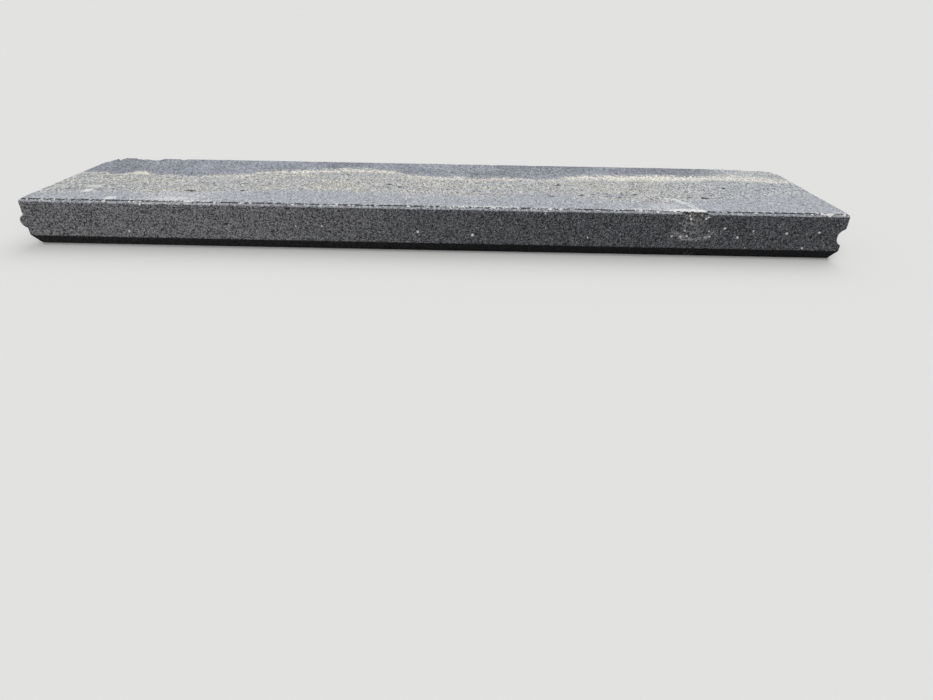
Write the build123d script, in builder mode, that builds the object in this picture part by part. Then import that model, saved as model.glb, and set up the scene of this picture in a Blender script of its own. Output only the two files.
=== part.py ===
"""Edging kerb stone of pressed concrete, lying flat, cast in one piece.

The stone lies on one broad face, as it does in a stack. Its length runs along
X, its installed height along Y and its thickness along Z. The head, the narrow face
that shows once the stone is laid, looks along -Y. Its lower long edge has the
wide chamfer and its upper one a small arris. A half-round tongue on the left
end fits the groove in the right end of the next stone.
"""

import os

from build123d import *

# Driving dimensions, in millimetres
laying_length = 1000.0
installed_height = 220.0
thickness = 60.0

head_chamfer = 15.0
head_arris = 3.0

key_drop = 27.5
tongue_width = 16.0
tongue_reach = 6.5
tongue_root_radius = 1.5
groove_side_clearance = 2.0
groove_end_clearance = 1.0
groove_lip_radius = 2.0

# The groove is the tongue with its clearances
groove_width = tongue_width + 2 * groove_side_clearance
groove_depth = tongue_reach + groove_end_clearance


def radius_of_segment(chord, rise):
    """Radius of the arc that rises by rise over a chord."""
    return (chord**2 / 4 + rise**2) / (2 * rise)


# The origin is under the middle of the stone, with its tongue counted in
overall_length = laying_length + tongue_reach
left_end = -overall_length / 2 + tongue_reach
right_end = overall_length / 2
head_face = -installed_height / 2
key_height = thickness - key_drop

tongue_radius = radius_of_segment(tongue_width, tongue_reach)
groove_radius = radius_of_segment(groove_width, groove_depth)


def key_edges(part, end):
    """The two edges where the key form meets a flat end, for the end at 0 or -1 along X."""
    along_height = part.edges().filter_by(Axis.Y)
    on_end = along_height.group_by(Axis.X)[end]
    return on_end.sort_by(Axis.Z)[1:-1]


with BuildPart() as kerb_stone:
    # Cross-section of the stone, from the head on the left to the foot
    with BuildSketch(Plane.YZ.offset(left_end)) as cross_section:
        Rectangle(installed_height, thickness, align=(Align.CENTER, Align.MIN))
        head_corners = cross_section.vertices().group_by(Axis.X)[0].sort_by(Axis.Y)
        chamfer(head_corners[0], length=head_chamfer)
        chamfer(head_corners[-1], length=head_arris)
    extrude(amount=laying_length)

    # Half-round tongue, over the whole height of the left end
    with BuildSketch(Plane.XZ.offset(head_face)) as tongue_section:
        with Locations((left_end - tongue_reach + tongue_radius, key_height)):
            Circle(tongue_radius)
    extrude(amount=installed_height)

    # Groove that takes the tongue of the next stone
    with BuildSketch(Plane.XZ.offset(head_face)) as groove_section:
        with Locations((right_end - groove_depth + groove_radius, key_height)):
            Circle(groove_radius)
    extrude(amount=installed_height, mode=Mode.SUBTRACT)

    # Rounded root of the tongue on the left end, and rounded lips of the groove on the right
    fillet(key_edges(kerb_stone, 0), radius=tongue_root_radius)
    fillet(key_edges(kerb_stone, -1), radius=groove_lip_radius)

kerb_stone.part.label = "kerb_stone"

os.makedirs("parts", exist_ok=True)
export_step(kerb_stone.part, "parts/kerb_stone.step")
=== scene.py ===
"""Edging kerb stone of anthracite pressed concrete, with its worn surface, in a plain studio."""

import math
import random

import bmesh
import bpy
from bpy.props import FloatProperty, FloatVectorProperty, IntProperty, PointerProperty
from mathutils import Matrix, Vector, noise


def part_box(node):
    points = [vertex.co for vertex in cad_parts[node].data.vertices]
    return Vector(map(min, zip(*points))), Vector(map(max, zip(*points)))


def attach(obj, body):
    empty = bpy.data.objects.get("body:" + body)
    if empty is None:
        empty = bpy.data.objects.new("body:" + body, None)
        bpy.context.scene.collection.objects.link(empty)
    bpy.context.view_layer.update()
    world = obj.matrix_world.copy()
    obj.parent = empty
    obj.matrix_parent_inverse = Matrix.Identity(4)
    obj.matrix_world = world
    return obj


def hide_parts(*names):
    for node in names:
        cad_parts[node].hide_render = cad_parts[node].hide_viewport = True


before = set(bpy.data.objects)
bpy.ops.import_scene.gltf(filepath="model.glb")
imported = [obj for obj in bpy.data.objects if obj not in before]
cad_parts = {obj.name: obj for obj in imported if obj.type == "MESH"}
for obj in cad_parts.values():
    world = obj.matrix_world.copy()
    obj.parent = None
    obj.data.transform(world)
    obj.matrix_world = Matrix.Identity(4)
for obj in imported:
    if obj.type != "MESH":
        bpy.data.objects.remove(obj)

bl_info = {
    "name": "Kerb Stone",
    "version": (1, 0, 0),
    "blender": (4, 5, 0),
    "location": "View3D > Sidebar > Kerb",
    "description": "Builds a worn concrete kerb stone and the studio it is seen in",
    "category": "Add Mesh",
}

MM = 0.001
NODE = "kerb_stone"
BODY = "root"
PIECE = "kerb_stone_worn"
PHOTO_WIDTH = 933
SENSOR_WIDTH = 36.0

stone_low, stone_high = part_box(NODE)

# Mesh rows beside the arris in millimetres, and round the half of a key in degrees
ARRIS_ROWS = (-1.5, -0.7, 0.35, 0.7, 1.1, 1.6)
KEY_ANGLES = (17, 33, 46, 62)
SIDE_CELL = 2.6 * MM

# How far the closer mesh reaches round small features; the last two are in millimetres
FRONT_EDGE_REACH = 7 * MM
END_SKIN = 9 * MM
STRUCK_REACH = 21 * MM
STRUCK_DEPTH = 9 * MM
REAR_CORNER_START = 404.5 * MM
REAR_CORNER_REACH = 12 * MM
PIT_REACH = (11, 8)
SPECK_REACH = 5

# A point as close to a cut as this lies on it
CUT_TOLERANCE = 0.05 * MM

# How worn places are made, and how much they count in the layers below
LEAST_RADIUS = 0.3 * MM
WORN_DEPTH = 0.4 * MM
BROKEN_DEPTH = 0.5 * MM
BITE_REACH = 1.4
COARSE_ROUGHNESS = 0.30
HOLLOWS_IN_A_PIT = 3
SPECK_DEPTH = 6 * MM
SPECK_LIME = 2.4
SMEAR_DEPTH = 3 * MM
CRUMB_MARGIN = 10 * MM
CRUMB_LIME = 1.2
CHIP_MARGIN = 20 * MM
FOLD_ANGLE = math.radians(80.0)
FOLD_PASSES = 12

# Noise that shapes the wear, in waves to a metre
EDGE_WAVES = (25.0, 120.0, 190.0)
CREASE_WAVES = (38.0, 210.0, 520.0)
BITE_WAVES = (420.0, 140.0)
RELIEF_WAVES = (18.0, 310.0)

# Numbers that the mesh holds at its points, and the slices that its points are sorted into
LAYERS = (
    "worn", "crease", "broken", "pit", "lime", "behind_arris", "behind_tide", "behind_front",
    "tide_width", "tide_strength", "edge_lime",
)
SLICE = 10 * MM

# The concrete's patterns, as grains or waves to a metre
SAND_SCALE = 900.0
COARSE_SCALE = 470.0
PORE_SCALE = 560.0
DENT_SCALE = 260.0
FLECK_SCALE = 85.0
BLOTCH_SCALE = 820.0
PATCH_SCALE = 430.0
BUMP_SCALE = 520.0
RUBBLE_SCALE = 360.0

# Greys of single grains, worn edges and pores, painted shade for the crease and the hollows, and
# the rusty tint of a few flecks
PALE_GREY = 0.42
FLECK_GREY = 0.62
WORN_GREY = 0.28
PORE_GREY = 0.015
CREASE_SHADE_GREY = 0.04
HOLLOW_SHADE_GREY = 0.05
RUST = (0.50, 0.38, 0.20, 1.0)

# Where one look passes into the next along the stone: first and last place, in metres
PASTE_DARKENS = (-0.42, 0.22)
TIDE_TURNS_RAGGED = (-0.39, -0.30)
YELLOW_FADES = (0.34, 0.20)
MIDDLE_TURNS_BLUISH = (0.28, 0.42)
PALE_DUST_STARTS = (-0.38, -0.33)
PALE_DUST_ENDS = (-0.25, -0.29)
CORNER_STARTS = (0.36, 0.46)

# Features of this stone. Where nothing else is said, their places and sizes are in millimetres
# from the stone's middle: along to the right, across to the foot, up from the lower face.

# Middle of the struck place, on the head's upper edge, in metres
STRUCK = Vector((320 * MM, stone_low.y, 60 * MM))
# Rings rubbed round it: radius, half width and strength
STRUCK_RINGS = [
    (33.8, 4, 1.00), (24.8, 2.2, 0.50), (20.6, 1.6, 0.36), (15.6, 2, 0.70),
]
# Pieces broken out of it: place along and up, half length, depth, layer and strength
BROKEN_PIECES = [
    (318, 57, 13.5, 3.6, "broken", 0.40), (316.5, 56, 6.5, 3.9, "broken", 0.85),
    (309, 57.5, 7, 3.4, "broken", 0.10), (328.5, 57.5, 6.5, 3.2, "broken", 0.08),
    (319, 50, 7, 2.2, "broken", 0.40), (304.5, 59, 2.6, 4.4, "pit", 1.00),
    (308.5, 57.8, 2.4, 4.8, "pit", 1.00), (314, 60, 2.8, 5, "pit", 1.00),
    (325, 57.2, 1.5, 4.2, "pit", 0.90), (331, 57, 1.8, 4, "pit", 1.00),
    (328.5, 53.5, 1.3, 4, "pit", 0.90), (323.5, 54, 1.6, 4.2, "pit", 1.00),
    (311, 53, 1.4, 3.6, "pit", 0.80), (318, 47.5, 2, 3.2, "pit", 1.00),
    (324, 48, 1.4, 3, "pit", 0.80),
]
# White arc scratched into the upper broad face: its middle and its half sizes
SCRATCH_CENTRE = (293, -98)
SCRATCH_HALF_SIZE = (33, 44)
# Pits of the upper broad face: place along and across, and size
PITS = [
    (-462, 19, 6), (-421, -10, 6), (-381, -46, 5), (-370, -31, 4), (-308, -56, 14), (-243, -53, 8),
    (-205, -44, 5), (-57, -12, 11), (-45, -18, 10), (56, -29, 5), (165, 4, 7), (151, -51, 8),
    (192, -45, 8), (217, -16, 5), (244, -30, 7), (237, -53, 8), (261, -37, 10), (390, 5, 8),
    (352, -48, 11), (443, 3, 8), (401, -65, 5), (466, -68, 6),
]
# Pale grains in the head: place along and up, and size
SPECKS = [
    (52, 26.4, 2.1), (-15, 29.2, 1.9), (-349, 56.5, 1.6), (-371, 23, 1.4), (-132, 34.1, 1.3),
    (-164, 33.4, 1.2), (139, 55.5, 1.3), (357, 40.9, 1.8), (433, 36.3, 1.7), (472, 38.1, 1.5),
    (375, 29.9, 1.6), (457, 17.9, 1.5), (392, 38.6, 1.2), (193, 26.2, 1.2), (314.5, 51.5, 1.7),
    (313, 55, 1.5), (331.6, 52.6, 1.4), (334.6, 54.1, 1.3), (294.9, 29.8, 1.6), (305.4, 29.6, 1.4),
    (313.2, 30.7, 1.6), (309.4, 37.3, 1.1), (339, 37.1, 1.2), (340.9, 30.3, 1.4),
]
# Lime smeared on the upper broad face: place, half length, half width and strength
SMEARS = [
    (-436, -65, 9, 8, 1.00), (-391, -96, 10, 7, 1.00), (-438, -46, 14, 9, 0.45),
    (287, -88, 32, 18, 0.34), (255, -102, 30, 8, 0.45), (-315, -94, 32, 10, 0.40),
]
# Lime crumbs on the arris of the head: place along, and size
EDGE_CRUMBS = [
    (-393, 1.6), (-362, 1.5), (-349, 1.3), (-299, 1.4), (-259, 1.8), (-165, 1.7), (-118, 1.9),
    (-112, 1.4), (-92, 1.9), (-26, 1.6), (25, 1.8), (76, 1.5), (122, 1.7), (145, 2), (157, 2),
    (169, 1.7), (253, 1.6), (273, 1.9), (294, 2), (390, 1.9), (458, 1.4), (471.5, 2.4), (475, 1.6),
    (478.5, 2.6), (481.5, 2), (496, 1.9),
]
# Lime heaped behind the arris: how much of it, by place along
EDGE_LIME = [
    (-500, 0.25), (-420, 0.30), (-395, 0.35), (-370, 0.20), (-350, 0.25), (-320, 0.55),
    (-300, 0.75), (-270, 0.70), (-255, 0.25), (-225, 0.15), (-172, 0.45), (-160, 0.25),
    (-125, 0.40), (-110, 0.45), (-92, 0.35), (-60, 0.10), (-35, 0.25), (-15, 0.35), (5, 0.40),
    (20, 0.60), (45, 0.70), (70, 0.80), (100, 0.80), (112, 0.45), (138, 0.55), (160, 0.55),
    (175, 0.50), (190, 0.20), (225, 0.40), (265, 0.60), (286, 0.75), (300, 1.35), (330, 1.25),
    (336, 0.10), (385, 0.30), (395, 0.30), (440, 0.10), (470, 0.50), (482, 0.50), (487, 0.30),
    (503, 0.50),
]
# Worn places of the foot's upper edge: place along, half length, reach across and depth
REAR_NOTCHES = [
    (-496.7, 6, 34, 3), (-485, 5.5, 20, 5.5), (-433, 12, 13, 3.2), (-450, 14, 7, 2.4),
    (-390, 6, 4, 2), (440, 9, 5, 2), (470, 18, 8, 2.6), (492, 14, 10, 3.2), (504, 10, 24, 3.6),
]
# Line where the water stood: place along and across
TIDE_LINE = [
    (-488, 23), (-465, 25), (-450, 13), (-430.6, 14), (-420.9, 24.5), (-413.1, 25), (-404.3, 21),
    (-379, 14), (-357, 13), (-328, 12), (-282, 20), (-263, 21), (-252, 38), (-230, 47), (-192, 50),
    (-164, 57), (-126, 66), (-102, 65), (-65, 58), (-34, 38), (6, 27), (65, 25), (84, 33),
    (104, 28), (123, 31), (141, 26), (161, 31), (182, 44), (210, 52), (262, 57), (323, 59),
    (363, 58), (387, 64), (409, 65), (428, 62), (444, 56), (478, 50), (504, 38),
]
# Width of the lime along that line, by place along
TIDE_WIDTH = [
    (-500, 5), (-380, 5), (-300, 9), (-220, 12), (-120, 16), (-40, 14), (60, 9), (130, 16),
    (200, 33), (320, 36), (420, 32), (470, 22), (500, 12),
]
# How much lime lies there, by place along
TIDE_STRENGTH = [
    (-500, 0.60), (-470, 0.40), (-448, 0.85), (-436, 0.80), (-430, 1.50), (-405, 1.45),
    (-398, 0.30), (-385, 0.30), (-375, 0.85), (-357, 0.85), (-345, 0.58), (-300, 0.74),
    (-270, 0.82), (-160, 0.92), (-95, 0.88), (-50, 0.64), (-10, 0.88), (30, 0.86), (80, 0.82),
    (130, 0.58), (172, 0.50), (205, 0.78), (300, 0.88), (400, 0.74), (470, 0.82), (500, 0.75),
]
# Line between the dust beside the head and the dull middle: place along and across
FRONT_LINE = [
    (-500, -76), (-435, -74), (-389, -65), (-345, -67), (-297, -58), (-222, -49), (-186, -44),
    (-127, -47), (-82, -48), (-63, -56), (-16, -59), (47, -52), (145, -45), (187, -49), (210, -66),
    (252, -72), (286, -70), (349, -58), (380, -52), (452, -31), (490, -21),
]


def length_setting(name, description, millimetres):
    """A size, given here in millimetres, that the sidebar shows in scene units."""
    return FloatProperty(
        name=name,
        description=description,
        default=millimetres * MM,
        min=0.0,
        subtype="DISTANCE",
        unit="LENGTH",
        precision=4,
    )


def colour_setting(name, description, default):
    """A plain colour, in scene linear values."""
    return FloatVectorProperty(
        name=name,
        description=description,
        default=default,
        size=3,
        min=0.0,
        max=1.0,
        subtype="COLOR",
    )


def angle_setting(name, description, degrees):
    """An angle, given here in degrees."""
    return FloatProperty(
        name=name,
        description=description,
        default=math.radians(degrees),
        subtype="ANGLE",
        unit="ROTATION",
    )


def angle_pair(name, description, degrees):
    """Two angles that aim a light, given here in degrees."""
    return FloatVectorProperty(
        name=name,
        description=description,
        default=[math.radians(angle) for angle in degrees],
        size=2,
        subtype="EULER",
        unit="ROTATION",
    )


def strength_setting(name, description, default):
    """How bright a light is."""
    return FloatProperty(name=name, description=description, default=default, min=0.0)


def count_setting(name, description, default):
    """A whole number."""
    return IntProperty(name=name, description=description, default=default, min=0)


class KerbShapeSettings(bpy.types.PropertyGroup):
    head_chamfer: length_setting("Head chamfer", "Leg of the wide chamfer on the head", 15)
    head_arris: length_setting("Head arris", "Leg of the small chamfer on the head", 3)
    key_drop: length_setting("Key drop", "Middle of tongue and groove, below the upper face", 27.5)
    tongue_width: length_setting("Tongue width", "Width of the tongue at the end face", 16)
    tongue_reach: length_setting("Tongue reach", "How far the tongue stands out", 6.5)
    tongue_root: length_setting("Tongue root", "Radius between the tongue and its end", 1.5)
    groove_width: length_setting("Groove width", "Width of the groove at the end face", 20)
    groove_depth: length_setting("Groove depth", "Depth of the groove in its end", 7.5)
    groove_lip: length_setting("Groove lip", "Radius of the groove's lips", 2)
    key_blend: length_setting("Key blend", "Length over which the mesh follows the keys", 25)
    end_zone: length_setting("End zone", "Length at each end with a closer mesh", 12)
    edge_cell: length_setting("Edge cell", "Mesh spacing beside an edge", 0.6)
    length_cell: length_setting("Length cell", "Mesh spacing along the stone", 2.8)
    broad_cell: length_setting("Broad cell", "Mesh spacing across the broad faces", 5.5)


class KerbWearSettings(bpy.types.PropertyGroup):
    edge_radius: length_setting("Edge radius", "Usual radius of a worn edge", 1)
    edge_radius_swing: length_setting("Radius swing", "How much the radius goes up and down", 0.8)
    end_edge_extra: length_setting("End edges", "Added radius on the ragged edges of the ends", 0.7)
    crease_depth: length_setting("Crease depth", "Depth of the crease along the arris", 1.1)
    crease_width: length_setting("Crease half width", "Half the width of that crease", 2.5)
    relief: length_setting("Relief", "Unevenness of the pressed faces", 0.25)
    small_chips: count_setting("Small chips", "Chips spread along the edges", 46)
    crumbs: count_setting("Crumbs", "Lime crumbs stuck along the arris", 52)
    seed: count_setting("Seed", "Draws the places of chips and crumbs", 7)


class KerbFinishSettings(bpy.types.PropertyGroup):
    paste: colour_setting("Paste", "Clean anthracite concrete", (0.096, 0.099, 0.107))
    left_end_colour: colour_setting("Paler paste", "Concrete of the left end", (0.192, 0.192, 0.200))
    # Colours of the upper face, partly dust and partly painted sheen: set lighter and bluer than
    # the dust alone, for a bright sky's glancing reflection on the top.
    front_dust_and_sheen: colour_setting("Front dust", "Bluish dust beside the head", (0.425, 0.445, 0.480))
    pale_dust_and_sheen: colour_setting("Paler dust", "Thicker dust near the left end", (0.520, 0.530, 0.560))
    middle_dust_and_sheen: colour_setting("Middle dust", "Dull dust along the middle", (0.480, 0.484, 0.484))
    yellow_dust_and_sheen: colour_setting("Yellow dust", "Patches in the middle", (0.540, 0.525, 0.470))
    back_dust_and_sheen: colour_setting("Back strip", "Washed strip beside the foot", (0.298, 0.315, 0.355))
    corner_dust_and_sheen: colour_setting("Rear corner", "End of the washed strip", (0.430, 0.445, 0.455))
    tide: colour_setting("Tide line", "Lime left where the water stood", (0.780, 0.755, 0.680))
    lime: colour_setting("Lime", "White lime crumbs", (0.860, 0.855, 0.830))
    broken: colour_setting("Broken stone", "Freshly broken concrete", (0.330, 0.315, 0.270))


class StudioSettings(bpy.types.PropertyGroup):
    floor_colour: colour_setting("Floor", "Floor as the camera sees it", (0.80, 0.80, 0.79))
    floor_bounce: colour_setting("Floor bounce", "Floor as it lights the stone", (0.02, 0.02, 0.02))
    floor_size: length_setting("Floor size", "Side of the square floor", 60000)
    sky_strength: strength_setting("Sky strength", "Soft light from all round", 0.25)
    key_strength: strength_setting("Key strength", "Soft light from the front", 1.95)
    fill_strength: strength_setting("Fill strength", "Soft light from behind", 0.95)
    key_aim: angle_pair("Key aim", "Turn and height of the front light", (-14, 45))
    fill_aim: angle_pair("Fill aim", "Turn and height of the rear light", (150, 60))
    softness: angle_setting("Softness", "Angular width of both lights", 55)
    focal_pixels: FloatProperty(
        name="Focal length",
        description="Focal length in pixels of the picture",
        default=575.0,
        min=1.0,
    )
    eye: FloatVectorProperty(
        name="Eye",
        description="Place of the camera",
        default=(0.05155, -0.7867, 0.2678),
        subtype="XYZ",
        unit="LENGTH",
    )
    heading: angle_setting("Heading", "Turn of the camera to the left", 0.372)
    pitch: angle_setting("Pitch", "How far the camera looks down", 30.939)
    roll: angle_setting("Roll", "Turn of the picture about its middle", 1.003)


def arc_radius(chord, rise):
    """Radius of the arc that rises by rise over a chord."""
    return (chord**2 / 4 + rise**2) / (2 * rise)


def key_limits(chord, rise, fillet):
    """Heights from a key's axis at which its fillet leaves the arc and meets the end face."""
    radius = arc_radius(chord, rise)
    inset = radius - rise
    outer = math.sqrt((radius + fillet) ** 2 - (inset + fillet) ** 2)
    return outer * radius / (radius + fillet), outer


def key_standoff(height, chord, rise, fillet):
    """How far a half-round key stands off the end face, at this height from its axis."""
    radius = arc_radius(chord, rise)
    inner, outer = key_limits(chord, rise, fillet)
    height = abs(height)
    if height >= outer:
        return 0.0
    if height >= inner:
        return fillet - math.sqrt(max(0.0, fillet**2 - (outer - height) ** 2))
    return math.sqrt(radius**2 - height**2) - (radius - rise)


def graded(low, high, first, largest, growth=1.35):
    """Stations between low and high, close together at both ends and wide apart between."""
    run, step, offsets = 0.0, first, []
    while run + step < (high - low) / 2:
        run += step
        offsets.append(run)
        step = min(step * growth, largest)
    return sorted({low + offset for offset in offsets} | {high - offset for offset in offsets})


def curve_through(points, x):
    """Height at x of a smooth line through a few points."""
    if x <= points[0][0]:
        return points[0][1]
    for (x0, y0), (x1, y1) in zip(points, points[1:]):
        if x <= x1:
            share = (x - x0) / (x1 - x0)
            return y0 + (y1 - y0) * share * share * (3 - 2 * share)
    return points[-1][1]


def stone_planes(shape):
    """The stone's flat faces, each as its outward normal and its distance from the origin."""
    head_low = Vector((0.0, stone_low.y, stone_low.z + shape.head_chamfer))
    head_high = Vector((0.0, stone_low.y, stone_high.z - shape.head_arris))
    faces = [
        (Vector((-1, 0, 0)), Vector((stone_low.x + shape.tongue_reach, 0, 0))),
        (Vector((1, 0, 0)), Vector((stone_high.x, 0, 0))),
        (Vector((0, -1, 0)), stone_low),
        (Vector((0, 1, 0)), stone_high),
        (Vector((0, 0, -1)), stone_low),
        (Vector((0, 0, 1)), stone_high),
        (Vector((0, -1, -1)).normalized(), head_low),
        (Vector((0, -1, 1)).normalized(), head_high),
    ]
    return [(normal, normal.dot(point)) for normal, point in faces]


def rolled(point, planes, radius):
    """Where a ball of this radius, rolled inside the faces, puts a point of an edge."""
    depths = [(normal, distance - normal.dot(point)) for normal, distance in planes]
    near = [(normal, depth) for normal, depth in depths if depth < radius]
    while len(near) > 1:
        grid = Matrix.Identity(3)
        wanted = Vector((0.0, 0.0, 0.0))
        near = sorted(near, key=lambda face: face[1])[:3]
        for row, (normal, depth) in enumerate(near):
            wanted[row] = radius - depth
            for column, (other, _) in enumerate(near):
                grid[row][column] = normal.dot(other)
        moves = grid.inverted_safe() @ wanted
        least = min(range(len(near)), key=lambda row: moves[row])
        if moves[least] > 0.0:
            back = Vector((0.0, 0.0, 0.0))
            for row, (normal, _) in enumerate(near):
                back -= normal * moves[row]
            return point + back - back.normalized() * radius
        near.pop(least)
    return point


def section_rows(shape):
    """Stations across the height and the thickness, where the section's faces are cut."""
    across = graded(stone_low.y, stone_high.y, shape.edge_cell, shape.broad_cell)
    arris_foot = stone_low.y + shape.head_arris
    across += [arris_foot + offset * MM for offset in ARRIS_ROWS]
    key_height = stone_high.z - shape.key_drop
    tongue = key_limits(shape.tongue_width, shape.tongue_reach, shape.tongue_root)
    groove = key_limits(shape.groove_width, shape.groove_depth, shape.groove_lip)
    offsets = [0.0, *tongue, *groove, (groove[0] + groove[1]) / 2]
    offsets += [groove[0] * math.sin(math.radians(angle)) for angle in KEY_ANGLES]
    key_rows = [key_height + side * offset for offset in offsets for side in (-1, 1)]
    lowest, highest = min(key_rows) - MM, max(key_rows) + MM
    side_rows = graded(stone_low.z, stone_high.z, shape.edge_cell, SIDE_CELL)
    upward = key_rows + [z for z in side_rows if not lowest < z < highest]
    return sorted(across), sorted(set(upward))


def cut_rows(mesh, rows, axis):
    """Cuts the faces along rows that stand apart along one axis."""
    normal = Vector((0.0, 0.0, 0.0))
    normal[axis] = 1.0
    for place in rows:
        geometry = mesh.verts[:] + mesh.edges[:] + mesh.faces[:]
        bmesh.ops.bisect_plane(
            mesh, geom=geometry, dist=CUT_TOLERANCE, plane_co=normal * place, plane_no=normal
        )


def pressed_prism(mesh, shape):
    """The stone before its ends are shaped: a section drawn out along its length."""
    left = stone_low.x + shape.tongue_reach
    corners = [
        mesh.verts.new((left, stone_low.y, stone_low.z)),
        mesh.verts.new((left, stone_low.y, stone_high.z)),
        mesh.verts.new((left, stone_high.y, stone_high.z)),
        mesh.verts.new((left, stone_high.y, stone_low.z)),
    ]
    mesh.faces.new(corners)
    for corner, leg in ((corners[0], shape.head_chamfer), (corners[1], shape.head_arris)):
        bmesh.ops.bevel(
            mesh,
            geom=[corner],
            offset=leg,
            segments=1,
            profile=0.5,
            affect="VERTICES",
            material=-1,
        )
    across, upward = section_rows(shape)
    cut_rows(mesh, across, 1)
    cut_rows(mesh, upward, 2)

    copied = bmesh.ops.duplicate(mesh, geom=mesh.faces[:])["geom"]
    far_verts = [item for item in copied if isinstance(item, bmesh.types.BMVert)]
    bmesh.ops.translate(mesh, verts=far_verts, vec=(stone_high.x - left, 0.0, 0.0))
    rims = [edge for edge in mesh.edges if edge.is_boundary]
    bmesh.ops.bridge_loops(mesh, edges=rims)
    steps = graded(0.0, 4 * shape.end_zone, shape.edge_cell, shape.length_cell)
    close = [step for step in steps if step < shape.end_zone]
    cut_rows(mesh, [left + step for step in close], 0)
    cut_rows(mesh, [stone_high.x - step for step in reversed(close)], 0)

    long_edges = [edge for edge in mesh.edges if edge.calc_length() > 4 * shape.end_zone]
    cuts = round(long_edges[0].calc_length() / shape.length_cell) - 1
    bmesh.ops.subdivide_edges(mesh, edges=long_edges, cuts=cuts, use_grid_fill=True)
    bmesh.ops.recalc_face_normals(mesh, faces=mesh.faces[:])


def refine(mesh, inside, cuts, along=None):
    """Cuts the edges that lie inside a region into smaller ones, or only those along one axis."""
    edges = []
    for edge in mesh.edges:
        first, second = (vert.co for vert in edge.verts)
        if not (inside(first) and inside(second)):
            continue
        if along is None or abs(first[along] - second[along]) > 0.9 * (first - second).length:
            edges.append(edge)
    bmesh.ops.subdivide_edges(mesh, edges=edges, cuts=cuts, use_grid_fill=True)


def in_front_edge(co):
    """Beside the upper edge of the head."""
    return co.y < stone_low.y + FRONT_EDGE_REACH and co.z > stone_high.z - FRONT_EDGE_REACH


def in_end_skin(co):
    """Near one of the two ends."""
    return min(co.x - stone_low.x, stone_high.x - co.x) < END_SKIN


def in_struck_place(co):
    """Round the struck place on the head."""
    return (co - STRUCK).length < STRUCK_REACH and co.y < stone_low.y + STRUCK_DEPTH


def in_rear_corner(co):
    """Beside the upper edge of the foot, near one of the two ends."""
    if abs(co.x) < REAR_CORNER_START or co.z < stone_high.z - REAR_CORNER_REACH:
        return False
    return co.y > stone_high.y - REAR_CORNER_REACH


def near_pit(co):
    """Round a pit of the upper broad face."""
    if co.z < stone_high.z - MM:
        return False
    x, y = co.x / MM, co.y / MM
    return any(abs(x - pit[0]) < PIT_REACH[0] and abs(y - pit[1]) < PIT_REACH[1] for pit in PITS)


def near_speck(co):
    """Round a pale grain of the head."""
    if co.y > stone_low.y + MM or in_struck_place(co):
        return False
    x, z = co.x / MM, co.z / MM
    return any(max(abs(x - speck[0]), abs(z - speck[1])) < SPECK_REACH for speck in SPECKS)


def refine_details(mesh):
    """A closer mesh where small features are."""
    refine(mesh, in_front_edge, 1, along=0)
    refine(mesh, in_end_skin, 1, along=1)
    refine(mesh, in_struck_place, 2)
    refine(mesh, in_rear_corner, 1)
    refine(mesh, near_pit, 2)
    refine(mesh, near_speck, 2)
    many_sided = [face for face in mesh.faces if len(face.verts) > 4]
    bmesh.ops.triangulate(mesh, faces=many_sided, quad_method="BEAUTY", ngon_method="BEAUTY")


def sliced(mesh):
    """The mesh's points, kept by slices along the length, so that the near ones are found fast."""
    slices = {}
    for vert in mesh.verts:
        slices.setdefault(round(vert.co.x / SLICE), []).append(vert)
    return slices


def verts_near(slices, x, reach):
    """All points whose length coordinate lies about within reach of x."""
    first, last = round((x - reach) / SLICE), round((x + reach) / SLICE)
    return [vert for slot in range(first, last + 1) for vert in slices.get(slot, ())]


def waver(point, per_metre, shift=(0.0, 0.0, 0.0)):
    """Smooth noise from -1 to 1, with about this many waves in a metre."""
    return noise.noise(Vector(point) * per_metre + Vector(shift))


def worn_radius(point, wear):
    """Radius to which the edge at this point is worn."""
    slow = waver(point, EDGE_WAVES[0])
    quick = waver(point, EDGE_WAVES[1], (3.0, 1.0, 7.0))
    to_end = min(point.x - stone_low.x, stone_high.x - point.x)
    radius = wear.edge_radius + wear.edge_radius_swing * (0.6 * slow + 0.6 * quick)
    if to_end < END_SKIN:
        radius += wear.end_edge_extra * (1.0 + 1.6 * waver(point, EDGE_WAVES[2]))
    return max(radius, LEAST_RADIUS)


def wear_edges(mesh, shape, wear, layers):
    """Rounds every edge of the prism by a radius that varies from place to place."""
    planes = stone_planes(shape)
    for vert in mesh.verts:
        radius = worn_radius(vert.co, wear)
        place = rolled(vert.co, planes, radius)
        vert[layers["worn"]] = min(1.0, (vert.co - place).length / WORN_DEPTH)
        vert.co = place


def shape_ends(mesh, shape):
    """Draws the tongue out of the left end and presses the groove into the right one."""
    left = stone_low.x + shape.tongue_reach
    key_height = stone_high.z - shape.key_drop
    for vert in mesh.verts:
        height = vert.co.z - key_height
        from_left = (vert.co.x - left) / shape.key_blend
        from_right = (stone_high.x - vert.co.x) / shape.key_blend
        if from_left < 1.0:
            tongue = (shape.tongue_width, shape.tongue_reach, shape.tongue_root)
            vert.co.x -= key_standoff(height, *tongue) * (1.0 - from_left) ** 2
        elif from_right < 1.0:
            groove = (shape.groove_width, shape.groove_depth, shape.groove_lip)
            vert.co.x -= key_standoff(height, *groove) * (1.0 - from_right) ** 2


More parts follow.
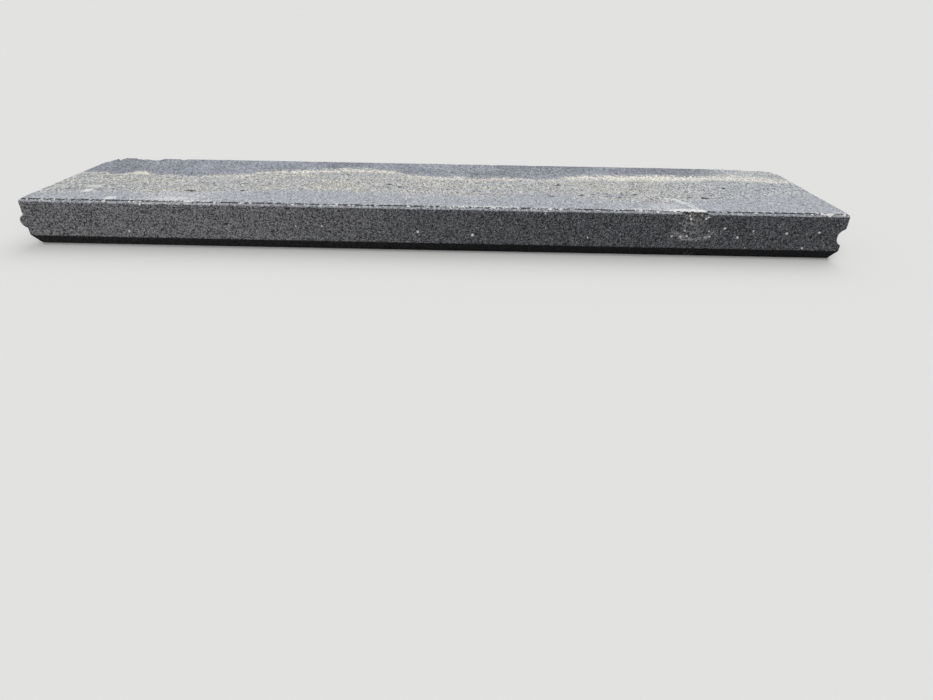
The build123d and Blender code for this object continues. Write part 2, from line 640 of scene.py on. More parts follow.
def press_crease(mesh, shape, wear, layers):
    """The broken crease that the press leaves where the arris meets the upper broad face."""
    foot = stone_low.y + shape.head_arris + 0.6 * wear.crease_width
    for vert in mesh.verts:
        co = vert.co
        if co.z < stone_high.z - 1.5 * MM or abs(co.y - foot) > 2 * wear.crease_width:
            continue
        along = (co.x, 0.0, 0.0)
        slow = waver(along, CREASE_WAVES[0], (0.0, 2.0, 0.0))
        quick = waver(along, CREASE_WAVES[1], (0.0, 9.0, 0.0))
        ragged = waver(along, CREASE_WAVES[2], (0.0, 5.0, 0.0))
        line = foot + 0.5 * MM * (slow + quick)
        half_width = wear.crease_width * (0.8 + 0.5 * quick + 0.3 * ragged)
        strength = min(1.0, max(0.0, 0.84 + 1.3 * slow + 1.3 * quick + 0.6 * ragged))
        strength *= min(1.0, max(0.0, 2.4 * (1.0 - abs(co.y - line) / half_width)))
        vert[layers["crease"]] = strength
        co.z -= wear.crease_depth * strength


def bite(slices, centre, radii, inward, layer, roughness=0.16, strength=1.0):
    """Breaks a scallop out: points inside the rough ellipsoid go inward to its skin."""
    direction = Vector(inward).normalized()
    squeezed = Vector([direction[axis] / radii[axis] for axis in range(3)])
    pace = squeezed.length
    squeezed.normalize()
    for vert in verts_near(slices, centre.x, BITE_REACH * radii[0]):
        offset = vert.co - centre
        unit = Vector([offset[axis] / radii[axis] for axis in range(3)])
        if unit.length > BITE_REACH:
            continue
        swell = waver(vert.co, BITE_WAVES[0]) + 0.8 * waver(vert.co, BITE_WAVES[1])
        rough = 1.0 + roughness * swell
        gap = unit.dot(unit) - rough * rough
        if gap >= 0.0:
            continue
        along = unit.dot(squeezed)
        move = (-along + math.sqrt(along * along - gap)) / pace
        vert.co += direction * move
        vert[layer] = min(1.0, vert[layer] + strength * min(1.0, move / BROKEN_DEPTH))


def strike_head(slices, layers):
    """The struck place on the head: a piece broken out above, with deeper hollows in it."""
    for x, z, half_length, deep, layer, strength in BROKEN_PIECES:
        bite(
            slices,
            centre=Vector((x * MM, stone_low.y - 0.25 * deep * MM, z * MM)),
            radii=(half_length * MM, deep * MM, 0.75 * half_length * MM),
            inward=(0.0, 1.0, -0.15),
            layer=layers[layer],
            roughness=COARSE_ROUGHNESS,
            strength=strength,
        )


def pit_top(slices, wear, layers):
    """The pits and torn places of the upper broad face, which the material darkens with painted
    shade.
    """
    draw = random.Random(wear.seed + 1)
    for x, y, size in PITS:
        for _ in range(HOLLOWS_IN_A_PIT):
            length = size * draw.uniform(0.26, 0.46) * MM
            along = x + draw.uniform(-0.4, 0.4) * size
            across = y + draw.uniform(-0.25, 0.25) * size
            width = length * draw.uniform(0.45, 0.75)
            bite(
                slices,
                centre=Vector((along * MM, across * MM, stone_high.z + 0.4 * MM)),
                radii=(length, width, draw.uniform(1.4, 2.2) * MM),
                inward=(0.0, 0.0, -1.0),
                layer=layers["pit"],
            )


def place_specks(slices, layers):
    """Single pale grains in the head."""
    for x, z, size in SPECKS:
        for vert in verts_near(slices, x * MM, size * MM):
            away = math.hypot(vert.co.x / MM - x, vert.co.z / MM - z) / size
            if vert.co.y < stone_low.y + SPECK_DEPTH and away < 1.0:
                vert[layers["lime"]] = SPECK_LIME * (1.0 - away)


def smear_lime(slices, layers):
    """Thin smears of lime on the upper broad face."""
    for x, y, half_length, half_width, strength in SMEARS:
        for vert in verts_near(slices, x * MM, half_length * MM):
            along = (vert.co.x / MM - x) / half_length
            away = math.hypot(along, (vert.co.y / MM - y) / half_width)
            if vert.co.z > stone_high.z - SMEAR_DEPTH and away < 1.0:
                lime = strength * (1.0 - away * away)
                vert[layers["lime"]] = max(vert[layers["lime"]], lime)


def edge_crumbs(slices, shape, wear, layers):
    """Lime crumbs stuck along the arris of the head."""
    line = stone_low.y + shape.head_arris
    first, last = stone_low.x + CRUMB_MARGIN, stone_high.x - CRUMB_MARGIN
    draw = random.Random(wear.seed + 2)
    crumbs = [(draw.uniform(first, last), draw.uniform(0.7, 1.3)) for _ in range(wear.crumbs)]
    crumbs += [(x * MM, size) for x, size in EDGE_CRUMBS]
    for x, size in crumbs:
        centre = Vector((x, line + draw.uniform(-1.2, 1.6) * MM, stone_high.z - 0.6 * MM))
        for vert in verts_near(slices, x, size * MM):
            away = (vert.co - centre).length / (size * MM)
            if away < 1.0:
                lift = math.sqrt(1.0 - away * away)
                vert.co += Vector((0.0, -0.4, 0.8)) * lift * 0.7 * size * MM
                vert[layers["lime"]] = CRUMB_LIME
                vert[layers["crease"]] = 0.0


def small_chips(slices, wear, layers):
    """Chips spread along three long edges, each given with how large its chips are."""
    draw = random.Random(wear.seed)
    long_edges = [
        (stone_low.y, stone_high.z, 0.35),
        (stone_high.y, stone_high.z, 1.0),
        (stone_high.y, stone_low.z, 0.8),
    ]
    first, last = stone_low.x + CHIP_MARGIN, stone_high.x - CHIP_MARGIN
    chips = []
    for _ in range(wear.small_chips):
        y, z, share = draw.choice(long_edges)
        chips.append((draw.uniform(first, last), y, z, draw.uniform(1.5, 4.5) * share))
    for x, y, z, size in chips:
        downward = -1.0 if z == stone_high.z else 1.0
        inward = Vector((0.0, -math.copysign(1.0, y), downward)).normalized()
        radius = size * MM
        depth = radius * draw.uniform(0.30, 0.5)
        bite(
            slices,
            centre=Vector((x, y, z)) - inward * (radius - depth),
            radii=(radius * draw.uniform(1.0, 2.2), radius, radius),
            inward=inward,
            layer=layers["broken"],
        )


def rear_notches(slices, layers):
    """Worn places in the upper edge of the foot, near both ends."""
    for x, half_length, across, deep in REAR_NOTCHES:
        bite(
            slices,
            centre=Vector((x * MM, stone_high.y, stone_high.z)),
            radii=(half_length * MM, across * MM, deep * MM),
            inward=(0.0, -0.5, -1.0),
            layer=layers["worn"],
            roughness=COARSE_ROUGHNESS,
        )


def relief(mesh, wear):
    """Slight waves and grains of the pressed faces, all of them inward."""
    mesh.normal_update()
    moves = []
    for vert in mesh.verts:
        wave = 0.5 + 0.5 * waver(vert.co, RELIEF_WAVES[0])
        grain = 0.5 + 0.5 * waver(vert.co, RELIEF_WAVES[1])
        moves.append(vert.normal * -wear.relief * (0.6 * wave + 0.4 * grain))
    for vert, move in zip(mesh.verts, moves):
        vert.co += move
        for axis in range(3):
            vert.co[axis] = min(max(vert.co[axis], stone_low[axis]), stone_high[axis])


def settle_folds(mesh):
    """Smooths the few points where a broken place has folded the skin over itself."""
    for _ in range(FOLD_PASSES):
        mesh.normal_update()
        folded = {
            vert
            for edge in mesh.edges
            if edge.is_manifold and edge.calc_face_angle() > FOLD_ANGLE
            for vert in edge.verts
        }
        bmesh.ops.smooth_vert(
            mesh, verts=list(folded), factor=0.5, use_axis_x=True, use_axis_y=True, use_axis_z=True
        )


def stain_layers(mesh, shape, layers):
    """Where each point lies across the stains of the upper face, and how thick the lime is."""
    arris_end = (stone_low.y + shape.head_arris) / MM
    amounts = {"tide_width": TIDE_WIDTH, "tide_strength": TIDE_STRENGTH, "edge_lime": EDGE_LIME}
    for vert in mesh.verts:
        x, y = vert.co.x / MM, vert.co.y / MM
        vert[layers["behind_arris"]] = y - arris_end
        vert[layers["behind_tide"]] = y - curve_through(TIDE_LINE, x)
        vert[layers["behind_front"]] = y - curve_through(FRONT_LINE, x)
        for name, curve in amounts.items():
            vert[layers[name]] = curve_through(curve, x)


def add_node(tree, kind, inputs=None, **settings):
    """Adds a shader node, sets it up, and links or fills its inputs by name or place."""
    node = tree.nodes.new(kind)
    for key, value in settings.items():
        setattr(node, key, value)
    for key, value in (inputs or {}).items():
        if isinstance(value, bpy.types.NodeSocket):
            tree.links.new(value, node.inputs[key])
        else:
            node.inputs[key].default_value = value
    return node


def noise_value(tree, place, scale, detail=2.0, roughness=0.5):
    """Soft noise from 0 to 1."""
    inputs = {"Vector": place, "Scale": scale, "Detail": detail, "Roughness": roughness}
    return add_node(tree, "ShaderNodeTexNoise", inputs).outputs["Fac"]


def stretched(tree, place, factors):
    """The place, scaled by its own factor along each axis."""
    inputs = {"Vector": place, "Scale": factors}
    return add_node(tree, "ShaderNodeMapping", inputs).outputs["Vector"]


def maths(tree, operation, first, second=0.0):
    """One arithmetic step on numbers."""
    node = add_node(tree, "ShaderNodeMath", {0: first, 1: second}, operation=operation)
    return node.outputs["Value"]


def between(tree, value, low, high, out_low=0.0, out_high=1.0):
    """Smooth step from out_low to out_high as value goes from low to high."""
    inputs = {
        "Value": value,
        "From Min": low,
        "From Max": high,
        "To Min": out_low,
        "To Max": out_high,
    }
    node = add_node(tree, "ShaderNodeMapRange", inputs, interpolation_type="SMOOTHSTEP")
    return node.outputs["Result"]


def blend(tree, factor, first, second):
    """Mixes two colours: the first where the factor is 0, and the second where it is 1."""
    node = add_node(tree, "ShaderNodeMix", data_type="RGBA", blend_type="MIX")
    for place, value in ((0, factor), (6, first), (7, second)):
        if isinstance(value, bpy.types.NodeSocket):
            tree.links.new(value, node.inputs[place])
        else:
            node.inputs[place].default_value = value
    return node.outputs[2]


def rgba(colour):
    """A colour setting as four numbers."""
    return (*colour, 1.0)


def grey(value):
    """A neutral colour."""
    return (value, value, value, 1.0)


def attribute_value(tree, name):
    """A number that the mesh holds at its points."""
    return add_node(tree, "ShaderNodeAttribute", attribute_name=name).outputs["Fac"]


def cells(tree, place, scale):
    """Random grains: the distance to the nearest one, and its own random colour."""
    node = add_node(tree, "ShaderNodeTexVoronoi", {"Vector": place, "Scale": scale})
    return node.outputs["Distance"], node.outputs["Color"]


def grit(tree, place, scale):
    """A random number from 0 to 1 for each grain of sand."""
    _, tint = cells(tree, place, scale)
    return add_node(tree, "ShaderNodeSeparateColor", {0: tint}).outputs[0]


def times(tree, colour, factor):
    """The colour made lighter or darker by a factor."""
    node = add_node(tree, "ShaderNodeVectorMath", {0: colour, 1: factor}, operation="MULTIPLY")
    return node.outputs["Vector"]


def speckled(tree, colour, *grains):
    """The colour broken up by grains, each given with how strongly it counts."""
    factor = 1.0
    for grain, share in grains:
        spread = between(tree, grain, 0.0, 1.0, 1.0 - share, 1.0 + share)
        factor = maths(tree, "MULTIPLY", factor, spread)
    return times(tree, colour, factor)


def product(tree, *values):
    """All the numbers multiplied together."""
    result = values[0]
    for value in values[1:]:
        result = maths(tree, "MULTIPLY", result, value)
    return result


def total(tree, *values):
    """All the numbers added up."""
    result = values[0]
    for value in values[1:]:
        result = maths(tree, "ADD", result, value)
    return result


def swing(tree, value, reach):
    """Turns a number from 0 to 1 into one that swings by reach to both sides of nothing."""
    return maths(tree, "MULTIPLY", maths(tree, "SUBTRACT", value, 0.5), 2.0 * reach)


def axis_value(tree, place, axis):
    """One coordinate of a place or a direction."""
    return add_node(tree, "ShaderNodeSeparateXYZ", {0: place}).outputs[axis]


def from_centre(tree, place, centre):
    """The place, counted from a centre."""
    node = add_node(tree, "ShaderNodeVectorMath", {0: place, 1: centre}, operation="SUBTRACT")
    return node.outputs["Vector"]


def length_of(tree, vector):
    """How long a vector is."""
    node = add_node(tree, "ShaderNodeVectorMath", {0: vector}, operation="LENGTH")
    return node.outputs["Value"]


def paste_colour(tree, place, finish, sand):
    """Anthracite paste with its sand grains, pale flecks and pores."""
    along = axis_value(tree, place, "X")
    clouds = noise_value(tree, place, 9.0, 4.0)
    # The paste is lighter towards the left end and darker towards the right.
    paler = between(tree, along, *PASTE_DARKENS, 1.0, 0.0)
    paler = between(tree, total(tree, paler, product(tree, clouds, 0.3)), 0.05, 1.15)
    colour = blend(tree, paler, rgba(finish.paste), rgba(finish.left_end_colour))
    blotches = between(tree, noise_value(tree, place, BLOTCH_SCALE, 2.0, 0.6), 0.34, 0.66)
    colour = speckled(tree, colour, (sand, 0.78), (blotches, 0.36))
    pale_grains = between(tree, sand, 0.965, 0.99, 0.0, 0.7)
    colour = blend(tree, pale_grains, colour, grey(PALE_GREY))
    pores = between(tree, grit(tree, place, PORE_SCALE), 0.06, 0.03, 0.0, 0.8)
    colour = blend(tree, pores, colour, grey(PORE_GREY))

    gap, tint = cells(tree, place, FLECK_SCALE)
    chosen = add_node(tree, "ShaderNodeSeparateColor", {0: tint})
    flecks = between(tree, gap, 0.10, 0.05)
    flecks = product(tree, flecks, between(tree, chosen.outputs[0], 0.72, 0.78))
    fleck_colour = blend(tree, chosen.outputs[1], grey(FLECK_GREY), RUST)
    return blend(tree, flecks, colour, fleck_colour)


def dust_and_sheen_strips(tree, place, along, tide, front, finish):
    """The strips of dust and painted sheen side by side, with the washed one last, and how far its
    end goes.
    """
    streaks = noise_value(tree, stretched(tree, place, (0.20, 1.0, 1.0)), 60.0, 5.0, 0.62)
    yellow = between(tree, streaks, 0.50, 0.66)
    yellow = product(tree, yellow, between(tree, along, *YELLOW_FADES))
    middle = blend(tree, yellow, rgba(finish.middle_dust_and_sheen), rgba(finish.yellow_dust_and_sheen))
    dark_streaks = between(tree, streaks, 0.47, 0.30, 0.0, 0.55)
    middle = blend(tree, dark_streaks, middle, rgba(finish.back_dust_and_sheen))
    bluish = between(tree, along, *MIDDLE_TURNS_BLUISH, 0.0, 0.6)
    middle = blend(tree, bluish, middle, rgba(finish.front_dust_and_sheen))
    pale = between(tree, along, *PALE_DUST_ENDS)
    pale = product(tree, pale, between(tree, along, *PALE_DUST_STARTS))
    beside_head = blend(tree, pale, rgba(finish.front_dust_and_sheen), rgba(finish.pale_dust_and_sheen))
    colour = blend(tree, between(tree, front, -16.0, 12.0), beside_head, middle)
    corner = between(tree, along, *CORNER_STARTS)
    washed = blend(tree, corner, rgba(finish.back_dust_and_sheen), rgba(finish.corner_dust_and_sheen))
    clouds = between(tree, noise_value(tree, place, 14.0, 3.0), 0.35, 0.65, 0.90, 1.16)
    washed = times(tree, washed, clouds)
    return blend(tree, between(tree, tide, -1.5, 2.5), colour, washed), corner


def grained_dust_and_sheen(tree, place, front, colour, sand, coarse, patches):
    """The dust and painted sheen with its grain, its dark dashes and its pocks."""
    grain = swing(tree, sand, 0.62), swing(tree, coarse, 0.12), swing(tree, patches, 0.62)
    grain = product(tree, total(tree, *grain), between(tree, front, -12.0, 6.0, 0.78, 1.08))
    colour = times(tree, colour, total(tree, grain, 1.0))
    dashes = noise_value(tree, stretched(tree, place, (0.25, 0.8, 1.0)), 330.0, 3.0, 0.6)
    dashes = between(tree, dashes, 0.60, 0.70)
    dashes = product(tree, dashes, between(tree, front, -6.0, 8.0))
    colour = times(tree, colour, between(tree, dashes, 0.0, 1.0, 1.0, 0.50))
    pocks = between(tree, coarse, 0.07, 0.03)
    pocks = product(tree, pocks, between(tree, front, -10.0, 8.0, 0.25, 1.0))
    return times(tree, colour, between(tree, pocks, 0.0, 1.0, 1.0, 0.50))


def tide_lime(tree, tide, corner, sand, coarse, patches):
    """How much lime lies along the line where the water stood, grain by grain."""
    width = product(tree, attribute_value(tree, "tide_width"), -1.0)
    share = maths(tree, "DIVIDE", tide, width)
    band = between(tree, share, 1.4, 0.3)
    band = product(tree, band, between(tree, tide, 2.5, -1.5))
    spill = between(tree, tide, 20.0, 0.0, 0.0, 0.58)
    spill = product(tree, spill, between(tree, tide, -2.0, 1.0))
    chance = maths(tree, "MAXIMUM", band, spill)
    chance = product(tree, chance, attribute_value(tree, "tide_strength"))
    thin = between(tree, tide, -2.0, 4.0, 0.0, 0.25)
    chance = total(tree, chance, product(tree, corner, thin))
    grains = product(tree, coarse, 0.45), product(tree, sand, 0.25), swing(tree, patches, 0.55)
    bare = total(tree, *grains, 0.15)
    return between(tree, maths(tree, "SUBTRACT", chance, bare), -0.08, 0.18, 0.0, 0.92)


def dust_and_sheen_colour(tree, place, flat, finish, sand):
    """Dust with its painted sheen, lime and stains of the upper broad face."""
    along = axis_value(tree, place, "X")
    coarse = grit(tree, flat, COARSE_SCALE)
    patches = noise_value(tree, flat, PATCH_SCALE, 2.0, 0.7)
    wobble = noise_value(tree, place, 42.0, 5.0, 0.65)
    ragged = total(tree, swing(tree, wobble, 11.0), swing(tree, coarse, 7.0))
    ragged = product(tree, ragged, between(tree, along, *TIDE_TURNS_RAGGED, 0.25, 1.0))
    tide = total(tree, attribute_value(tree, "behind_tide"), ragged)
    front = attribute_value(tree, "behind_front")
    front = total(tree, front, swing(tree, wobble, 34.0), swing(tree, coarse, 8.0))
    colour, corner = dust_and_sheen_strips(tree, place, along, tide, front, finish)
    colour = grained_dust_and_sheen(tree, place, front, colour, sand, coarse, patches)
    laid = tide_lime(tree, tide, corner, sand, coarse, patches)
    tide_colour = speckled(tree, finish.tide, (sand, 0.50), (patches, 0.42))
    return blend(tree, laid, colour, tide_colour)


def scratch_on_top(tree, place):
    """The white arc scratched into the upper broad face, behind the struck place."""
    centre = Vector((SCRATCH_CENTRE[0] * MM, SCRATCH_CENTRE[1] * MM, stone_high.z))
    half_size = Vector((SCRATCH_HALF_SIZE[0] * MM, SCRATCH_HALF_SIZE[1] * MM, 1.0))
    scale = Vector([1.0 / size for size in half_size])
    scaled = times(tree, from_centre(tree, place, centre), scale)
    reach = length_of(tree, scaled)
    axes = add_node(tree, "ShaderNodeSeparateXYZ", {0: scaled})
    wobble = swing(tree, noise_value(tree, place, 60.0, 4.0), 0.22)
    reach = total(tree, reach, wobble)
    outer = between(tree, maths(tree, "ABSOLUTE", total(tree, reach, -1.0)), 0.09, 0.01)
    inner = maths(tree, "ABSOLUTE", total(tree, reach, -0.83))
    inner = between(tree, inner, 0.09, 0.01, 0.0, 0.8)
    inner = product(tree, inner, between(tree, axes.outputs["X"], 0.30, 0.45))
    start = between(tree, axes.outputs["X"], 0.02, 0.14)
    end = between(tree, axes.outputs["Y"], -0.2, 0.1)
    torn = between(tree, noise_value(tree, place, 170.0, 3.0), 0.30, 0.52, 0.30, 1.0)
    return product(tree, maths(tree, "MAXIMUM", outer, inner), start, end, torn)


def struck_rings(tree, place, sand):
    """Pale rings rubbed into the head, round the struck place."""
    centred = from_centre(tree, place, STRUCK)
    height = axis_value(tree, centred, "Z")
    reach = length_of(tree, centred)
    reach = total(tree, reach, swing(tree, noise_value(tree, place, 110.0, 3.0), 4 * MM))
    rubbed = 0.0
    for radius, half_width, strength in STRUCK_RINGS:
        off = maths(tree, "ABSOLUTE", maths(tree, "SUBTRACT", reach, radius * MM))
        ring = between(tree, off, half_width * MM, 0.0, 0.0, strength)
        rubbed = maths(tree, "MAXIMUM", rubbed, ring)
    broken_up = between(tree, noise_value(tree, place, 200.0, 3.0, 0.6), 0.32, 0.52)
    below = between(tree, maths(tree, "DIVIDE", height, reach), -0.55, -0.88)
    grains = between(tree, sand, 0.30, 0.80, 0.20, 1.6)
    rings = product(tree, rubbed, below, broken_up, grains)
    return maths(tree, "MINIMUM", rings, 1.0)


def broken_places(tree, place, finish, colour, sand):
    """The surface with the painted shade of its open crease, its broken stone mottled with painted
    shade in its hollows, and its pits darkened with painted shade.
    """
    ragged = between(tree, noise_value(tree, place, 600.0, 2.0), 0.3, 0.7, 0.6, 1.3)
    # Painted shade: where the press crease is open it is coloured near black, for the shade inside
    # its groove.
    crease = product(tree, attribute_value(tree, "crease"), ragged)
    crease_shade = between(tree, crease, 0.10, 0.34, 0.0, 0.95)
    colour = blend(tree, crease_shade, colour, grey(CREASE_SHADE_GREY))

    # Painted shade: the broken stone is mottled with near-black patches for the shade in its small
    # hollows.
    rubble = between(tree, noise_value(tree, place, RUBBLE_SCALE, 4.0, 0.75), 0.40, 0.60)
    broken_colour = blend(tree, rubble, grey(HOLLOW_SHADE_GREY), rgba(finish.broken))
    broken_colour = speckled(tree, broken_colour, (sand, 0.5))
    broken = between(tree, attribute_value(tree, "broken"), 0.2, 0.8)
    colour = blend(tree, broken, colour, broken_colour)
    # Painted shade: the pits are coloured near black, darker than the bare paste, for the shade
    # inside them.
    depth = attribute_value(tree, "pit")
    depth = product(tree, depth, noise_value(tree, place, 340.0, 3.0, 0.65))
    pits = between(tree, depth, 0.18, 0.42, 0.0, 0.92)
    return blend(tree, pits, colour, grey(HOLLOW_SHADE_GREY))


def heaped_lime(tree, place, beside, upper_dust_and_sheen):
    """How much lime is heaped behind the arris."""
    thick = attribute_value(tree, "edge_lime")
    reach = total(tree, product(tree, thick, 9.0), 3.0)
    start = between(tree, beside, 1.8, 3.2)
    end = between(tree, beside, reach, product(tree, thick, 3.0))
    heap = product(tree, start, end, thick)
    clouds = between(tree, noise_value(tree, place, 150.0, 4.0, 0.7), 0.34, 0.60, 0.20, 1.20)
    return product(tree, heap, clouds, upper_dust_and_sheen)


def concrete_material(finish):
    """Anthracite concrete: dark sides, an upper face of dust and painted sheen, worn edges and
    broken places, with painted shade on the lower chamfer, in the open crease and in the hollows.
    """
    material = bpy.data.materials.new("anthracite_concrete")
    material.use_nodes = True
    tree = material.node_tree
    shader = tree.nodes["Principled BSDF"]
    place = add_node(tree, "ShaderNodeTexCoord").outputs["Object"]
    flat = stretched(tree, place, (1.0, 0.65, 1.0))
    facing = add_node(tree, "ShaderNodeNewGeometry").outputs["Normal"]
    upward = axis_value(tree, facing, "Z")
    sand = grit(tree, flat, SAND_SCALE)

    colour = paste_colour(tree, place, finish, sand)
    worn = product(tree, attribute_value(tree, "worn"), noise_value(tree, place, 150.0, 3.0))
    colour = blend(tree, between(tree, worn, 0.15, 0.6, 0.0, 0.45), colour, grey(WORN_GREY))

    # Painted sheen: upward faces take the upper face's colours, which are partly dust and partly a
    # painted glancing reflection of a bright sky.
    upper_dust_and_sheen = between(tree, upward, 0.45, 0.90)
    beside = attribute_value(tree, "behind_arris")
    strip = between(tree, noise_value(tree, place, 240.0, 3.0, 0.6), 0.36, 0.64, 0.74, 1.24)
    strip = blend(tree, between(tree, beside, 0.6, -0.4), grey(1.0), strip)
    dust = dust_and_sheen_colour(tree, place, flat, finish, sand)
    colour = blend(tree, upper_dust_and_sheen, colour, times(tree, dust, strip))
    colour = broken_places(tree, place, finish, colour, sand)

    heap = heaped_lime(tree, place, beside, upper_dust_and_sheen)
    chance = maths(tree, "MAXIMUM", attribute_value(tree, "lime"), heap)
    chance = maths(tree, "MAXIMUM", chance, product(tree, scratch_on_top(tree, place), 0.95))
    colour = blend(tree, struck_rings(tree, place, sand), colour, grey(PALE_GREY))
    chance = maths(tree, "SUBTRACT", chance, product(tree, sand, 0.9))
    laid = between(tree, chance, 0.0, 0.2, 0.0, 0.95)
    colour = blend(tree, laid, colour, rgba(finish.lime))

    # Painted shade: faces turned about 45 degrees downward, the head's wide chamfer, are darkened
    # to a third of their colour for the shade of a joint between stacked stones.
    chamfer = between(tree, upward, -0.35, -0.60)
    chamfer = product(tree, chamfer, between(tree, upward, -0.95, -0.80))
    colour = times(tree, colour, between(tree, chamfer, 0.0, 1.0, 1.0, 0.33))
    tree.links.new(colour, shader.inputs["Base Color"])
    shader.inputs["Roughness"].default_value = 0.9
    shader.inputs["Specular IOR Level"].default_value = 0.12

    bumps = noise_value(tree, place, BUMP_SCALE, 4.0, 0.7)
    gap, _ = cells(tree, place, DENT_SCALE)
    height = total(tree, bumps, product(tree, between(tree, gap, 0.05, 0.22), 0.35))
    relief_inputs = {"Height": height, "Strength": 0.6, "Distance": 0.8 * MM}
    bump = add_node(tree, "ShaderNodeBump", relief_inputs)
    tree.links.new(bump.outputs["Normal"], shader.inputs["Normal"])
    return material


class KERB_OT_stone(bpy.types.Operator):
    """Builds the worn kerb stone over its plain solid"""

    bl_idname = "kerb.stone"
    bl_label = "Kerb Stone"

    def execute(self, context):
        shape, wear = context.scene.kerb_shape, context.scene.kerb_wear
        mesh = bmesh.new()
        layers = {name: mesh.verts.layers.float.new(name) for name in LAYERS}
        pressed_prism(mesh, shape)
        refine_details(mesh)
        wear_edges(mesh, shape, wear, layers)
        shape_ends(mesh, shape)
        press_crease(mesh, shape, wear, layers)
        slices = sliced(mesh)
        strike_head(slices, layers)
        pit_top(slices, wear, layers)
        small_chips(slices, wear, layers)
        rear_notches(slices, layers)
        place_specks(slices, layers)
        smear_lime(slices, layers)
        edge_crumbs(slices, shape, wear, layers)
        relief(mesh, wear)
        settle_folds(mesh)
        stain_layers(mesh, shape, layers)
        for face in mesh.faces:
            face.smooth = True
        data = bpy.data.meshes.new(PIECE)
        mesh.to_mesh(data)
        mesh.free()
        stone = bpy.data.objects.new(PIECE, data)
        context.scene.collection.objects.link(stone)
        data.materials.append(concrete_material(context.scene.kerb_finish))
        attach(stone, BODY)
        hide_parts(NODE)
        return {"FINISHED"}


def seen_and_lit(tree, seen, lit):
    """One colour for the camera and mirror-like rays, and another for the light passed on."""
    path = add_node(tree, "ShaderNodeLightPath")
    looks = maths(tree, "MAXIMUM", path.outputs["Is Camera Ray"], path.outputs["Is Glossy Ray"])
    looks = maths(tree, "MAXIMUM", looks, path.outputs["Is Transmission Ray"])
    return blend(tree, looks, lit, seen)


def floor_material(studio):
    """Plain pale floor that keeps the stone's shadow and passes on little light."""
    material = bpy.data.materials.new("studio_floor")
    material.use_nodes = True
    tree = material.node_tree
    shader = tree.nodes["Principled BSDF"]
    colour = seen_and_lit(tree, rgba(studio.floor_colour), rgba(studio.floor_bounce))
    tree.links.new(colour, shader.inputs["Base Color"])
    shader.inputs["Roughness"].default_value = 1.0
    shader.inputs["Specular IOR Level"].default_value = 0.0
    return material


def studio_world(studio, level):
    """Even soft light, with a pale space behind the floor that is as bright as the floor."""
    world = bpy.data.worlds.new("studio_sky")
    world.use_nodes = True
    tree = world.node_tree
    background = tree.nodes["Background"]
    seen = Vector(studio.floor_colour) * level
    sky = grey(studio.sky_strength)
    colour = seen_and_lit(tree, rgba(seen), sky)
    tree.links.new(colour, background.inputs["Color"])
    background.inputs["Strength"].default_value = 1.0
    return world


def soft_sun(name, aim, strength, softness):
    """A wide soft light from far away, aimed by its turn from straight ahead and its height."""
    data = bpy.data.lights.new(name, "SUN")
    data.energy = strength
    data.angle = softness
    sun = bpy.data.objects.new(name, data)
    turn, height = aim
    level = math.cos(height)
    toward = Vector((math.sin(turn) * level, -math.cos(turn) * level, math.sin(height)))
    sun.rotation_euler = (-toward).to_track_quat("-Z", "Y").to_euler()
    bpy.context.scene.collection.objects.link(sun)


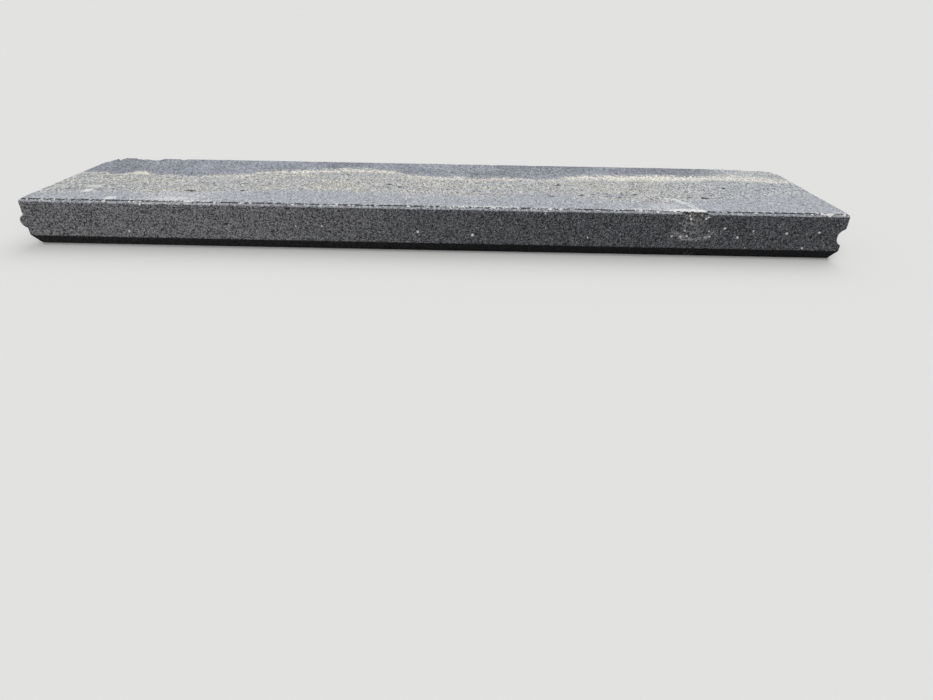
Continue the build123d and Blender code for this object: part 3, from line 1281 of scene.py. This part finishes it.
class KERB_OT_studio(bpy.types.Operator):
    """Builds the floor, the soft light and the camera"""

    bl_idname = "kerb.studio"
    bl_label = "Studio"

    def execute(self, context):
        scene, studio = context.scene, context.scene.kerb_studio
        floor_mesh = bmesh.new()
        bmesh.ops.create_grid(floor_mesh, x_segments=1, y_segments=1, size=studio.floor_size / 2)
        data = bpy.data.meshes.new("studio_floor")
        floor_mesh.to_mesh(data)
        floor_mesh.free()
        floor = bpy.data.objects.new("studio_floor", data)
        data.materials.append(floor_material(studio))
        scene.collection.objects.link(floor)

        soft_sun("key_light", studio.key_aim, studio.key_strength, studio.softness)
        soft_sun("fill_light", studio.fill_aim, studio.fill_strength, studio.softness)
        level = studio.sky_strength
        level += studio.key_strength / math.pi * math.sin(studio.key_aim[1])
        level += studio.fill_strength / math.pi * math.sin(studio.fill_aim[1])
        scene.world = studio_world(studio, level)

        camera_data = bpy.data.cameras.new("camera")
        camera_data.sensor_width = SENSOR_WIDTH
        camera_data.lens = studio.focal_pixels / PHOTO_WIDTH * SENSOR_WIDTH
        camera = bpy.data.objects.new("camera", camera_data)
        turn = Matrix.Rotation(studio.heading, 4, "Z")
        turn = turn @ Matrix.Rotation(math.radians(90) - studio.pitch, 4, "X")
        turn = turn @ Matrix.Rotation(studio.roll, 4, "Z")
        camera.matrix_world = Matrix.Translation(studio.eye) @ turn
        scene.collection.objects.link(camera)
        scene.camera = camera
        scene.view_settings.view_transform = "Standard"
        return {"FINISHED"}


class KERB_PT_sidebar(bpy.types.Panel):
    """Lists the kerb stone's pieces and their settings"""

    bl_idname = "KERB_PT_sidebar"
    bl_label = "Kerb Stone"
    bl_space_type = "VIEW_3D"
    bl_region_type = "UI"
    bl_category = "Kerb"

    def draw(self, context):
        for operator, groups in (
            (KERB_OT_stone, ("kerb_shape", "kerb_wear", "kerb_finish")),
            (KERB_OT_studio, ("kerb_studio",)),
        ):
            box = self.layout.box()
            box.operator(operator.bl_idname)
            for group in groups:
                settings = getattr(context.scene, group)
                for name in settings.__annotations__:
                    box.prop(settings, name)


SETTINGS = {
    "kerb_shape": KerbShapeSettings,
    "kerb_wear": KerbWearSettings,
    "kerb_finish": KerbFinishSettings,
    "kerb_studio": StudioSettings,
}
CLASSES = (*SETTINGS.values(), KERB_OT_stone, KERB_OT_studio, KERB_PT_sidebar)


def register():
    for kind in CLASSES:
        bpy.utils.register_class(kind)
    for name, group in SETTINGS.items():
        setattr(bpy.types.Scene, name, PointerProperty(type=group))


def unregister():
    for name in SETTINGS:
        delattr(bpy.types.Scene, name)
    for kind in reversed(CLASSES):
        bpy.utils.unregister_class(kind)


def main():
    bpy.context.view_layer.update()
    register()
    bpy.ops.kerb.stone()
    bpy.ops.kerb.studio()


if __name__ == "__main__":
    main()
